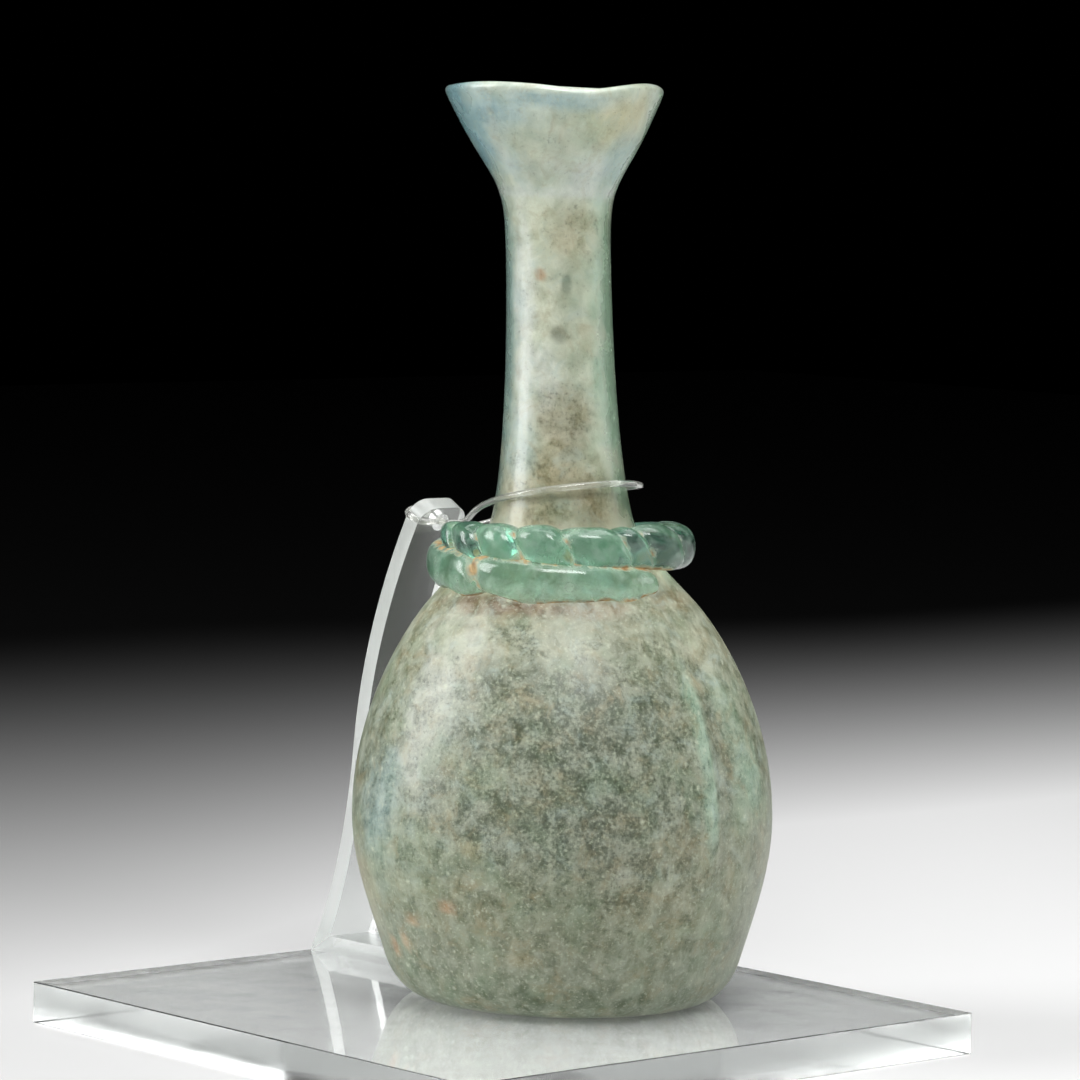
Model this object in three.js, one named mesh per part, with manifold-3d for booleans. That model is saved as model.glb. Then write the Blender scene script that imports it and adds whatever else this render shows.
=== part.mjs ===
// Ancient blown glass perfume flask on its display stand.
// A squat body, a tall neck with a funnel mouth, and a crimped trail of greener glass wound round
// the foot of the neck. A clear acrylic plate carries the flask, and a bent acrylic strip steadies
// its neck with a clear line. Millimetres and degrees, +Z up, origin under the plate's middle.
import * as THREE from 'three';
import { mergeVertices } from 'three/addons/utils/BufferGeometryUtils.js';
import Module from 'manifold-3d';

const wasm = await Module();
wasm.setup();
const { cos, sin, exp, round, hypot, atan2 } = Math;
const { degToRad, smoothstep } = THREE.MathUtils;

// Driving dimensions

const GAP = 0.3; // air between two fitted pieces

const PLATE_SIDE = 101.6;
const PLATE_THICK = 6.35;
const PLATE_EDGE = 0.4; // polished edge break

const FLASK_X = 3.5; // where the flask stands on the plate
const FLASK_Y = 9.4;
const FLASK_HEIGHT = 139.3;
const BASE_RADIUS = 20.9;
const HEEL_RADIUS = 27; // where the rounded heel meets the side
const HEEL_HEIGHT = 6;
const BODY_RADIUS = 32;
const BODY_HEIGHT = 28.5; // of the widest ring
const SHOULDER_RADIUS = 20;
const SHOULDER_HEIGHT = 61;
const NECK_FOOT_RADIUS = 10.8;
const NECK_FOOT_HEIGHT = 73.2;
const NECK_RADIUS = 7.95;
const NECK_TOP_HEIGHT = 114.3;
const MOUTH_RADIUS = 16.8;
const WALL = 1.9;
const LIP_WALL = 1.7;
const LIP_RISE = 1.2; // the round of the lip above the outline's end
const LIP_STEPS = 5;
const FLASK_SIDES = 44;
// The outside from base to lip: two pulls and an end for each stretch, radius and height.
const OUTLINE = [
  [24.1, 0.4, 26.2, 3.5, HEEL_RADIUS, HEEL_HEIGHT],
  [29.4, 14.1, BODY_RADIUS, 20.5, BODY_RADIUS, BODY_HEIGHT],
  [BODY_RADIUS, 42.5, 25.1, 55.4, SHOULDER_RADIUS, SHOULDER_HEIGHT],
  [17.2, 64.1, 11.9, 68.8, NECK_FOOT_RADIUS, NECK_FOOT_HEIGHT],
  [7.9, 84.9, NECK_RADIUS, 111.5, NECK_RADIUS, NECK_TOP_HEIGHT],
  [NECK_RADIUS, 126.6, 10, 122.6, MOUTH_RADIUS, FLASK_HEIGHT - LIP_RISE],
];
const OUTER_STEPS = [4, 5, 8, 4, 5, 8]; // rings along each stretch
const INNER_STEPS = [2, 3, 4, 2, 2, 4];
const PLUG_STEPS = [1, 2, 7, 4, 2, 1];

const LEAN = 4.5; // sideways drift of the mouth, towards the strip
const LEAN_TO = degToRad(228.5);
const OVAL = 0.006; // the blown body is slightly wider one way
const OVAL_TO = degToRad(30);
const FLUTE_DEPTH = 0.6; // one soft upright hollow in the body
const FLUTE_AT = degToRad(8);
const FLUTE_WIDTH = degToRad(9);
const FLUTE_FOOT = 8; // height where the hollow begins
const FLUTE_FULL = 24;
const BODY_FADE_FROM = 36; // the body's unevenness dies out towards the neck
const BODY_FADE_TO = 66;
const RIM_WAVE = 0.4; // the fire-rounded rim rises and falls
const RIM_WAVES = 3;
const RIM_DIP_AT = degToRad(-28);
const RIM_WAVE_FROM = 122;

const TRAIL_FROM = 13.5; // the tail, at the front right
const TRAIL_RINGS = 100;
const TRAIL_STEP = 5.1; // degrees from ring to ring
const TRAIL_SWEEP = TRAIL_RINGS * TRAIL_STEP;
const TRAIL_LOW = 64.9; // height of the lower coil's middle
const TRAIL_HIGH = 70.3;
const TRAIL_CLIMB = 430; // sweep over which it rises
const TRAIL_REACH = 19.9; // outermost radius
const TRAIL_SAG = 1; // the lower coil hangs out further here
const TRAIL_SAG_AT = 145;
const TRAIL_SAG_SPAN = 65;
const TRAIL_HALF = 3.35; // half its thickness
const TRAIL_SWELL = 0.75; // extra where the second turn begins
const TRAIL_SWELL_AT = 325;
const TRAIL_SWELL_SPAN = 40;
const TRAIL_TIP = 0.62; // thickness left at both ends
const TRAIL_TAPER = 55;
const CRIMP_RINGS = 5; // rings from one pincer mark to the next
const CRIMP_RING = 66; // the first mark, where the upper coil begins
const CRIMP_WIDTH = 0.9; // rings
const CRIMP_DEPTH = 1.2;
const CRIMP_SLANT = 2.1; // degrees of sweep for each millimetre up
const TRAIL_SIDES = 8;
const TRAIL_CAP_STEPS = 3;
const TRAIL_PIECES = 3;
const TRAIL_LAP = 3; // rings by which the pieces run into each other

const STRIP_WIDTH = 9.5;
const STRIP_THICK = 2.8;
const STRIP_Y = 8.75; // its middle
const TAB_END = -27; // tip of the foot tab
const FOOT_LEAN = degToRad(29); // from the vertical, just above the sharp fold
const WAIST = new THREE.Vector2(-39.7, 40);
const WAIST_LEAN = degToRad(5);
const LOWER_BOW = 10; // pull of the ends of the lower bow
const TOP = new THREE.Vector2(-26.5, 79.8);
const TOP_LEAN = degToRad(30);
const UPPER_BOW = 14;
const STRIP_CORNER = 2.8; // rounded corners of the free end
const CORNER_STEPS = 4;
const STRIP_STEPS = 10; // along each of its two bows
const HOLE_DROP = 2.7; // below the free end
const HOLE_RADIUS = 1.5;
const HOLE_SIDES = 14;

const TIE_THICK = 1;
const TIE_SIDES = 8;
const TIE_STEPS = 64;
const TIE_SPREAD = 0.6; // each strand beside the middle of the hole
const KNOT_RADIUS = 1.4;
const KNOT_SIDES = 10;
const KNOT_RINGS = 7;
const KNOT_OUT = -STRIP_THICK / 2 - GAP - KNOT_RADIUS; // it sits behind the strip
// The loop round the neck: direction, distance from the neck's middle and height on the flask.
const TIE_LOOP = [
  [-112, 11.2, 75.9],
  [-78, 11, 77.4],
  [-44, 10.9, 78.6],
  [-10, 10.9, 79.2],
  [22, 11.2, 79.1],
  [46, 11.9, 78.6],
  [72, 11.6, 78],
  [110, 11.3, 76.9],
];

// Shared geometry helpers

// A closed geometry as a solid that can be joined and cut.
function solidOf(geometry) {
  const bare = new THREE.BufferGeometry();
  bare.setAttribute('position', geometry.getAttribute('position'));
  bare.setIndex(geometry.index);
  const merged = mergeVertices(bare, 1e-4);
  const corners = merged.index.array;
  const triVerts = [];
  for (let i = 0; i < corners.length; i += 3) {
    const [a, b, c] = corners.subarray(i, i + 3);
    if (a !== b && b !== c && c !== a) triVerts.push(a, b, c);
  }
  const vertProperties = merged.getAttribute('position').array;
  const mesh = new wasm.Mesh({ numProp: 3, vertProperties, triVerts: new Uint32Array(triVerts) });
  return new wasm.Manifold(mesh);
}

function geometryOf(solid) {
  const { vertProperties, triVerts, numProp } = solid.getMesh();
  const geometry = new THREE.BufferGeometry();
  geometry.setAttribute('position', new THREE.BufferAttribute(vertProperties, numProp));
  geometry.setIndex(new THREE.BufferAttribute(triVerts, 1));
  return geometry;
}

function moveVertices(geometry, move) {
  const position = geometry.getAttribute('position');
  const point = new THREE.Vector3();
  for (let i = 0; i < position.count; i += 1) {
    point.fromBufferAttribute(position, i);
    move(point);
    position.setXYZ(i, point.x, point.y, point.z);
  }
  return geometry;
}

function part(name, geometry, look) {
  const shaded = geometry.index ? geometry.toNonIndexed() : geometry;
  shaded.computeVertexNormals();
  const mesh = new THREE.Mesh(shaded, new THREE.MeshStandardMaterial(look));
  mesh.name = name;
  return mesh;
}

// Flask: outline in radius and height, spun, then settled into its hand-blown form

function flaskOutline() {
  const outline = new THREE.Path();
  outline.moveTo(BASE_RADIUS, 0);
  OUTLINE.forEach((stretch) => outline.bezierCurveTo(...stretch));
  return outline;
}

// Points of the outline moved inwards by a depth along its normal, stretch by stretch.
function insetOutline(depth, stepsPerStretch) {
  const points = [];
  flaskOutline().curves.forEach((stretch, index) => {
    const steps = stepsPerStretch[index];
    for (let i = index === 0 ? 0 : 1; i <= steps; i += 1) {
      const along = stretch.getTangent(i / steps);
      const inwards = new THREE.Vector2(-along.y, along.x);
      points.push(stretch.getPoint(i / steps).addScaledVector(inwards, depth));
    }
  });
  return points;
}

// The fire-rounded lip: half a circle from the outside over to the inside.
function lipPoints(outerEnd, innerEnd) {
  const middle = outerEnd.clone().add(innerEnd).multiplyScalar(0.5);
  const points = [];
  for (let i = 1; i < LIP_STEPS; i += 1) {
    points.push(outerEnd.clone().rotateAround(middle, (Math.PI * i) / LIP_STEPS));
  }
  return points;
}

function leanAt(height) {
  const share = height / FLASK_HEIGHT;
  const drift = (LEAN * (share + 2 * share * share)) / 3;
  return new THREE.Vector2(drift * cos(LEAN_TO), drift * sin(LEAN_TO));
}

function settle(point) {
  const angle = atan2(point.y, point.x);
  const height = point.z;
  const body = 1 - smoothstep(height, BODY_FADE_FROM, BODY_FADE_TO);
  const offFlute = atan2(sin(angle - FLUTE_AT), cos(angle - FLUTE_AT)) / FLUTE_WIDTH;
  const flute = smoothstep(height, FLUTE_FOOT, FLUTE_FULL) * body * exp(-offFlute * offFlute);
  const radius = hypot(point.x, point.y);
  const swell = 1 + OVAL * body * cos(2 * (angle - OVAL_TO)) - (FLUTE_DEPTH * flute) / BODY_RADIUS;
  const lean = leanAt(height);
  const wave = -RIM_WAVE * cos(RIM_WAVES * (angle - RIM_DIP_AT));
  point.x = radius * swell * cos(angle) + lean.x;
  point.y = radius * swell * sin(angle) + lean.y;
  point.z = height + wave * smoothstep(height, RIM_WAVE_FROM, FLASK_HEIGHT);
}

function spun(points) {
  const geometry = new THREE.LatheGeometry(points, FLASK_SIDES);
  geometry.rotateX(Math.PI / 2);
  return moveVertices(geometry, settle);
}

function makeFlask() {
  const outer = insetOutline(0, OUTER_STEPS);
  const inner = insetOutline(WALL, INNER_STEPS);
  inner[inner.length - 1] = insetOutline(LIP_WALL, INNER_STEPS).at(-1);
  const lip = lipPoints(outer.at(-1), inner.at(-1));
  const under = new THREE.Vector2(0, 0);
  const floor = new THREE.Vector2(0, inner[0].y);
  return geometryOf(solidOf(spun([under, ...outer, ...lip, ...inner.reverse(), floor])));
}

// The flask's outside as a plug, one gap larger, that cuts the trail to fit.
function flaskPlug() {
  const outer = insetOutline(-GAP, PLUG_STEPS);
  const low = new THREE.Vector2(0, outer[0].y);
  const high = new THREE.Vector2(0, outer.at(-1).y);
  return solidOf(spun([low, ...outer, high]));
}

// Trail: bent capsules laid along one rising coil, pincered along the upper turn

// Half the trail's thickness at a ring, thinner at both ends and at each pincer mark.
function trailHalf(ring) {
  const sweep = ring * TRAIL_STEP;
  const swell = TRAIL_SWELL * exp(-(((sweep - TRAIL_SWELL_AT) / TRAIL_SWELL_SPAN) ** 2));
  const toEnd = Math.min(sweep, TRAIL_SWEEP - sweep);
  const taper = TRAIL_TIP + (1 - TRAIL_TIP) * smoothstep(toEnd, 0, TRAIL_TAPER);
  const past = ring - CRIMP_RING;
  const offMark = (past - CRIMP_RINGS * round(past / CRIMP_RINGS)) / CRIMP_WIDTH;
  const mark = exp(-offMark * offMark) * smoothstep(past, -CRIMP_RINGS / 2, 0);
  return (TRAIL_HALF + swell) * taper - CRIMP_DEPTH * mark;
}

function trailPiece(fromRing, toRing) {
  const ringLength = degToRad(TRAIL_STEP) * (TRAIL_REACH - TRAIL_HALF);
  const rings = toRing - fromRing;
  const length = rings * ringLength;
  const capsule = new THREE.CapsuleGeometry(TRAIL_HALF, length, TRAIL_CAP_STEPS, TRAIL_SIDES, rings);
  return moveVertices(capsule, (point) => {
    const ring = fromRing + (point.y + length / 2) / ringLength;
    const scale = trailHalf(ring) / TRAIL_HALF;
    const up = -point.z * scale;
    const sweep = ring * TRAIL_STEP + CRIMP_SLANT * up;
    const sag = TRAIL_SAG * exp(-(((sweep - TRAIL_SAG_AT) / TRAIL_SAG_SPAN) ** 2));
    const radius = TRAIL_REACH + sag - TRAIL_HALF + point.x * scale;
    const climb = smoothstep(sweep, 0, TRAIL_CLIMB);
    const height = TRAIL_LOW + (TRAIL_HIGH - TRAIL_LOW) * climb + up;
    const angle = degToRad(TRAIL_FROM - sweep);
    const lean = leanAt(height);
    point.set(radius * cos(angle) + lean.x, radius * sin(angle) + lean.y, height);
  });
}

function makeTrail() {
  let trail = null;
  for (let i = 0; i < TRAIL_PIECES; i += 1) {
    const from = round((TRAIL_RINGS * i) / TRAIL_PIECES);
    const to = round((TRAIL_RINGS * (i + 1)) / TRAIL_PIECES);
    const piece = solidOf(trailPiece(from > 0 ? from - TRAIL_LAP : from, to));
    trail = trail ? trail.add(piece) : piece;
  }
  return geometryOf(trail.subtract(flaskPlug()));
}

// Stand plate: a polished square of acrylic

function makePlate() {
  const half = PLATE_SIDE / 2 - PLATE_EDGE;
  const square = new THREE.Shape();
  square.moveTo(-half, -half);
  square.lineTo(half, -half);
  square.lineTo(half, half);
  square.lineTo(-half, half);
  const depth = PLATE_THICK - 2 * PLATE_EDGE;
  const bevel = { bevelSize: PLATE_EDGE, bevelThickness: PLATE_EDGE, bevelSegments: 1 };
  const plate = new THREE.ExtrudeGeometry(square, { depth, ...bevel });
  return plate.translate(0, 0, PLATE_EDGE);
}

// Stand strip: foot tab on the plate, folded up, bowed in towards the neck, with a drilled end

const towards = (lean) => new THREE.Vector2(sin(lean), cos(lean));

// From the middle of the sharp fold to its inner corner, where both half thicknesses meet.
function foldCorner() {
  const half = STRIP_THICK / 2;
  return new THREE.Vector2((half * (1 + sin(FOOT_LEAN))) / cos(FOOT_LEAN), half);
}

function stripMiddle() {
  const fold = new THREE.Vector2(-PLATE_SIDE / 2, PLATE_THICK).add(foldCorner());
  const leaving = fold.clone().addScaledVector(towards(FOOT_LEAN), LOWER_BOW);
  const middle = new THREE.Path();
  middle.moveTo(TAB_END, fold.y);
  middle.lineTo(fold.x, fold.y);
  const reaching = WAIST.clone().addScaledVector(towards(WAIST_LEAN), -LOWER_BOW);
  middle.bezierCurveTo(leaving.x, leaving.y, reaching.x, reaching.y, WAIST.x, WAIST.y);
  const above = WAIST.clone().addScaledVector(towards(WAIST_LEAN), UPPER_BOW);
  const below = TOP.clone().addScaledVector(towards(TOP_LEAN), -UPPER_BOW);
  middle.bezierCurveTo(above.x, above.y, below.x, below.y, TOP.x, TOP.y);
  return middle;
}

// The free end's own frame: across the strip, along it, and out of its inner face.
function endFrame() {
  const across = new THREE.Vector3(0, 1, 0);
  const along = new THREE.Vector3(sin(TOP_LEAN), 0, cos(TOP_LEAN));
  const out = new THREE.Vector3().crossVectors(across, along);
  return new THREE.Matrix4().makeBasis(across, along, out).setPosition(TOP.x, STRIP_Y, TOP.y);
}

function makeStrip() {
  const [tab, ...rise] = stripMiddle().curves;
  const up = new THREE.Vector2(0, STRIP_THICK / 2);
  const front = [tab.v1.clone().add(up), tab.v2.clone().add(foldCorner())];
  const back = [tab.v1.clone().sub(up), tab.v2.clone().sub(foldCorner())];
  rise.forEach((stretch) => {
    for (let i = 1; i <= STRIP_STEPS; i += 1) {
      const along = stretch.getTangent(i / STRIP_STEPS);
      const side = new THREE.Vector2(along.y, -along.x).multiplyScalar(STRIP_THICK / 2);
      const point = stretch.getPoint(i / STRIP_STEPS);
      front.push(point.clone().add(side));
      back.push(point.clone().sub(side));
    }
  });
  const bent = new THREE.ExtrudeGeometry(new THREE.Shape([...front, ...back.reverse()]), {
    depth: STRIP_WIDTH,
    bevelEnabled: false,
  });
  bent.rotateX(Math.PI / 2).translate(0, STRIP_Y + STRIP_WIDTH / 2, 0);

  const half = STRIP_WIDTH / 2;
  const reach = 2 * TOP.y;
  const rounded = new THREE.Shape();
  rounded.moveTo(-half, -reach);
  rounded.lineTo(half, -reach);
  rounded.absarc(half - STRIP_CORNER, -STRIP_CORNER, STRIP_CORNER, 0, Math.PI / 2);
  rounded.absarc(-half + STRIP_CORNER, -STRIP_CORNER, STRIP_CORNER, Math.PI / 2, Math.PI);
  const stencil = new THREE.ExtrudeGeometry(rounded, {
    depth: 2 * reach,
    bevelEnabled: false,
    curveSegments: CORNER_STEPS,
  });
  stencil.translate(0, 0, -reach).applyMatrix4(endFrame());

  const hole = new THREE.CylinderGeometry(HOLE_RADIUS, HOLE_RADIUS, 3 * STRIP_THICK, HOLE_SIDES);
  hole.rotateX(Math.PI / 2).translate(0, -HOLE_DROP, 0).applyMatrix4(endFrame());
  return geometryOf(solidOf(bent).intersect(solidOf(stencil)).subtract(solidOf(hole)));
}

// Neck tie: both ends knotted behind the strip, the loop drawn through the hole and round the neck

function tieRoute() {
  const frame = endFrame();
  const inHole = (side, out) => new THREE.Vector3(side, -HOLE_DROP, out).applyMatrix4(frame);
  const loop = TIE_LOOP.map(([direction, distance, height]) => {
    const lean = leanAt(height);
    const x = FLASK_X + lean.x + distance * cos(degToRad(direction));
    const y = FLASK_Y + lean.y + distance * sin(degToRad(direction));
    return new THREE.Vector3(x, y, PLATE_THICK + height);
  });
  return new THREE.CatmullRomCurve3([
    inHole(-TIE_SPREAD, KNOT_OUT),
    inHole(-TIE_SPREAD, 0),
    inHole(-TIE_SPREAD, STRIP_THICK),
    ...loop,
    inHole(TIE_SPREAD, STRIP_THICK),
    inHole(TIE_SPREAD, 0),
    inHole(TIE_SPREAD, KNOT_OUT),
  ]);
}

function makeTie() {
  const section = new THREE.Shape();
  section.absarc(0, 0, TIE_THICK / 2, 0, 2 * Math.PI);
  const line = new THREE.ExtrudeGeometry(section, {
    steps: TIE_STEPS,
    extrudePath: tieRoute(),
    curveSegments: TIE_SIDES / 2,
  });
  const knot = new THREE.SphereGeometry(KNOT_RADIUS, KNOT_SIDES, KNOT_RINGS);
  knot.translate(0, -HOLE_DROP, KNOT_OUT).applyMatrix4(endFrame());
  return geometryOf(solidOf(line).add(solidOf(knot)));
}

// Assembly

const flask = new THREE.Group();
flask.position.set(FLASK_X, FLASK_Y, PLATE_THICK);
flask.add(part('flask', makeFlask(), { color: 0xa9b5a0, roughness: 0.45, metalness: 0 }));
flask.add(part('collar_trail', makeTrail(), { color: 0x8fc0b2, roughness: 0.15, metalness: 0 }));

const acrylic = { color: 0xe9eef0, roughness: 0.05, metalness: 0, transparent: true, opacity: 0.4 };
const object = new THREE.Group();
object.add(part('stand_base', makePlate(), acrylic));
object.add(part('stand_upright', makeStrip(), acrylic));
object.add(part('neck_tie', makeTie(), { color: 0xdfe2da, roughness: 0.2, metalness: 0 }));
object.add(flask);

export default object;
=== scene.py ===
import math

import bmesh
import bpy
import numpy as np
from mathutils import Matrix, Vector, noise
from mathutils.geometry import interpolate_bezier


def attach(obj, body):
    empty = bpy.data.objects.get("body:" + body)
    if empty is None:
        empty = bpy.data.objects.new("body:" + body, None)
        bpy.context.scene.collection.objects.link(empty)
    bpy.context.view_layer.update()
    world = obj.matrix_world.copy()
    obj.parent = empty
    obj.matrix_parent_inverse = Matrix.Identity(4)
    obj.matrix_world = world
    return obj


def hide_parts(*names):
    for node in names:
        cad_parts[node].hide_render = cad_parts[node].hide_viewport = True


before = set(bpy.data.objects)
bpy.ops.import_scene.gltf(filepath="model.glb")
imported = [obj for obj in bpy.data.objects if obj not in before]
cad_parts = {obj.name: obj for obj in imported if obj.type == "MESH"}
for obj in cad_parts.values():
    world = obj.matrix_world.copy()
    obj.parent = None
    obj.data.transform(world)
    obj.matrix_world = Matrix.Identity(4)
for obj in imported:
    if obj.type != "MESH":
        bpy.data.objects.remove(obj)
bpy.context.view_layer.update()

# Stand plate: a square of clear cast acrylic, sawn from sheet, its edges flame polished.
# It lies on the table and carries the flask and the foot of the strip.

MM = 0.001
PLATE_SIDE = 101.6 * MM
PLATE_THICK = 6.35 * MM
PLATE_EDGE = 0.15 * MM

bpy.ops.object.select_all(action="DESELECT")
bpy.ops.mesh.primitive_cube_add(
    size=1, location=(0, 0, PLATE_THICK / 2), scale=(PLATE_SIDE, PLATE_SIDE, PLATE_THICK)
)
plate = bpy.context.object
plate.name = "acrylic_plate"
bpy.ops.object.transform_apply()
bpy.ops.object.mode_set(mode="EDIT")
bpy.ops.mesh.select_all(action="SELECT")
bpy.ops.mesh.bevel(offset=PLATE_EDGE, segments=3, affect="EDGES")
bpy.ops.object.mode_set(mode="OBJECT")


def colour(hex_srgb):
    """An sRGB hex colour as linear red, green, blue and alpha."""
    parts = [int(hex_srgb[i:i + 2], 16) / 255 for i in (1, 3, 5)]
    linear = [c / 12.92 if c <= 0.04045 else ((c + 0.055) / 1.055) ** 2.4 for c in parts]
    return (*linear, 1.0)


def add(tree, kind, inputs, **settings):
    """Adds a node with its settings; an input is a value or the socket that feeds it."""
    made = tree.nodes.new(kind)
    for name, value in settings.items():
        setattr(made, name, value)
    for key, value in inputs.items():
        if isinstance(value, bpy.types.NodeSocket):
            tree.links.new(value, made.inputs[key])
        else:
            made.inputs[key].default_value = value
    return made


def blend(tree, share, first, second):
    """The socket of a colour between two others."""
    return add(tree, "ShaderNodeMix", {0: share, 6: first, 7: second}, data_type="RGBA").outputs[2]


def spread(tree, value, low, high, at_low=0, at_high=1, **settings):
    """The socket of a value that runs from one end to the other while another goes from low to high."""
    return add(tree, "ShaderNodeMapRange", {
        "Value": value, "From Min": low, "From Max": high, "To Min": at_low, "To Max": at_high,
    }, **settings).outputs["Result"]


def reckon(tree, operation, *values, **settings):
    """The socket of a sum."""
    return add(tree, "ShaderNodeMath", dict(enumerate(values)), operation=operation, **settings).outputs[0]


def new_material(name):
    """A material with its node tree and its surface node."""
    made = bpy.data.materials.new(name)
    made.use_nodes = True
    return made, made.node_tree, made.node_tree.nodes["Principled BSDF"]


# Cast acrylic: clear as water with a high polish. Handling leaves faint smears that blur its
# reflections a little, and the flame-polished edges stay softer than the faces. Their colour is painted
# greyer than the faces, as painted shade that tones down how brightly they catch the light.
acrylic, tree, surface = new_material("polished_cast_acrylic")
place = add(tree, "ShaderNodeTexCoord", {})
smear = add(tree, "ShaderNodeTexNoise", {
    "Vector": place.outputs["Object"], "Scale": 1 / (14 * MM), "Detail": 4, "Roughness": 0.6})
haze = spread(tree, smear.outputs["Fac"], 0.45, 0.75, 0.02, 0.06)
facing = add(tree, "ShaderNodeSeparateXYZ", {0: place.outputs["Normal"]})
upright = reckon(tree, "ABSOLUTE", facing.outputs["Z"])
softer = spread(tree, upright, 0.2, 0.8, 0.1, 0)
gloss = reckon(tree, "ADD", haze, softer)
wave = add(tree, "ShaderNodeTexNoise", {
    "Vector": place.outputs["Object"], "Scale": 1 / (9 * MM), "Detail": 1})
ripple = add(tree, "ShaderNodeBump", {
    "Height": wave.outputs["Fac"], "Strength": 0.05, "Distance": 0.4 * MM})
tree.links.new(gloss, surface.inputs["Roughness"])
tree.links.new(ripple.outputs["Normal"], surface.inputs["Normal"])
# Painted shade: the upright sides get a greyer colour than the top and bottom faces.
greyer = spread(tree, upright, 0.2, 0.8)
tint = blend(tree, greyer, colour("#cfd3d1"), colour("#eff1f0"))
tree.links.new(tint, surface.inputs["Base Color"])
surface.inputs["Transmission Weight"].default_value = 1
surface.inputs["IOR"].default_value = 1.49

plate.data.materials.append(acrylic)
plate.visible_shadow = False
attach(plate, "root")
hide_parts("stand_base")

# Stand strip: a narrow strip of the same acrylic with its foot tab cemented to the plate,
# folded up, bowed in towards the neck under heat, its free end rounded and drilled for the tie.

STRIP_WIDTH = 9.5 * MM
STRIP_THICK = 2.8 * MM
STRIP_Y = 8.75 * MM
TAB_END = -27 * MM
FOOT_LEAN = math.radians(29)
WAIST = Vector((-39.7 * MM, STRIP_Y, 40 * MM))
WAIST_LEAN = math.radians(5)
LOWER_BOW = 10 * MM
TOP = Vector((-26.5 * MM, STRIP_Y, 79.8 * MM))
TOP_LEAN = math.radians(30)
UPPER_BOW = 14 * MM
STRIP_STEPS = 12
STRIP_CORNER = 2.8 * MM
HOLE_DROP = 2.7 * MM
HOLE_RADIUS = 1.5 * MM
MATT_END = 4.3 * MM
MATT_BLUR = 0.3 * MM
STRIP_EDGE = 0.3 * MM
FACE_CLEAR = 0.94
SANDED_WHITE = 0.15
FLAMED_BELOW = 22 * MM
UNFLAMED_ABOVE = 62 * MM
FLAMED_GRAIN = 0.3
SMEARED_FOOT = 0.8


def leaning(lean):
    """The way up along the strip where it leans by an angle."""
    return Vector((math.sin(lean), 0, math.cos(lean)))


fold_run = STRIP_THICK / 2 * (1 + math.sin(FOOT_LEAN)) / math.cos(FOOT_LEAN)
fold = Vector((-PLATE_SIDE / 2 + fold_run, STRIP_Y, PLATE_THICK + STRIP_THICK / 2))
tab_length = TAB_END - fold.x
bpy.ops.object.select_all(action="DESELECT")
bpy.ops.mesh.primitive_plane_add(
    size=1, location=(fold.x + tab_length / 2, STRIP_Y, fold.z), scale=(tab_length, STRIP_WIDTH, 1)
)
strip = bpy.context.object
strip.name = "acrylic_strip"
bpy.ops.object.transform_apply()
me = strip.data
for v in me.vertices:
    v.co.x = fold.x if v.co.x < fold.x + tab_length / 2 else TAB_END
    v.co.y = STRIP_Y + math.copysign(STRIP_WIDTH / 2, v.co.y - STRIP_Y)
lower = interpolate_bezier(
    fold, fold + LOWER_BOW * leaning(FOOT_LEAN),
    WAIST - LOWER_BOW * leaning(WAIST_LEAN), WAIST, STRIP_STEPS + 1)
upper = interpolate_bezier(
    WAIST, WAIST + UPPER_BOW * leaning(WAIST_LEAN),
    TOP - UPPER_BOW * leaning(TOP_LEAN), TOP, STRIP_STEPS + 1)
bpy.ops.object.mode_set(mode="EDIT")
bpy.ops.mesh.select_all(action="DESELECT")
bpy.ops.mesh.select_mode(type="EDGE")
shape = bmesh.from_edit_mesh(me)
for edge in shape.edges:
    edge.select_set(all(abs(v.co.x - fold.x) < 0.1 * MM for v in edge.verts))
bmesh.update_edit_mesh(me)
here = fold
for point in [*lower[1:], *upper[1:]]:
    bpy.ops.mesh.extrude_edges_move(TRANSFORM_OT_translate={"value": point - here})
    here = point
bpy.ops.mesh.select_mode(type="VERT")
bpy.ops.mesh.bevel(offset=STRIP_CORNER, segments=7, affect="VERTICES")
bpy.ops.object.mode_set(mode="OBJECT")
wall = strip.modifiers.new("thickness", "SOLIDIFY")
wall.thickness = STRIP_THICK
wall.offset = 0
wall.use_even_offset = True
bpy.ops.object.modifier_apply(modifier=wall.name)

hole_at = TOP - HOLE_DROP * leaning(TOP_LEAN)
drill_axis = leaning(TOP_LEAN + math.pi / 2)
bpy.ops.object.select_all(action="DESELECT")
bpy.ops.mesh.primitive_cylinder_add(
    vertices=32, radius=HOLE_RADIUS, depth=4 * STRIP_THICK, location=hole_at,
    rotation=(0, math.pi / 2 + TOP_LEAN, 0))
drill = bpy.context.object
bpy.context.view_layer.objects.active = strip
bore = strip.modifiers.new("tie_hole", "BOOLEAN")
bore.object = drill
bore.operation = "DIFFERENCE"
bpy.ops.object.modifier_apply(modifier=bore.name)
bpy.data.objects.remove(drill)
edges = strip.modifiers.new("polished_edges", "BEVEL")
edges.width = STRIP_EDGE
edges.segments = 2
edges.limit_method = "ANGLE"
edges.angle_limit = math.radians(50)
bpy.ops.object.modifier_apply(modifier=edges.name)
strip.select_set(True)
bpy.ops.object.shade_smooth_by_angle(angle=math.radians(20))

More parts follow.
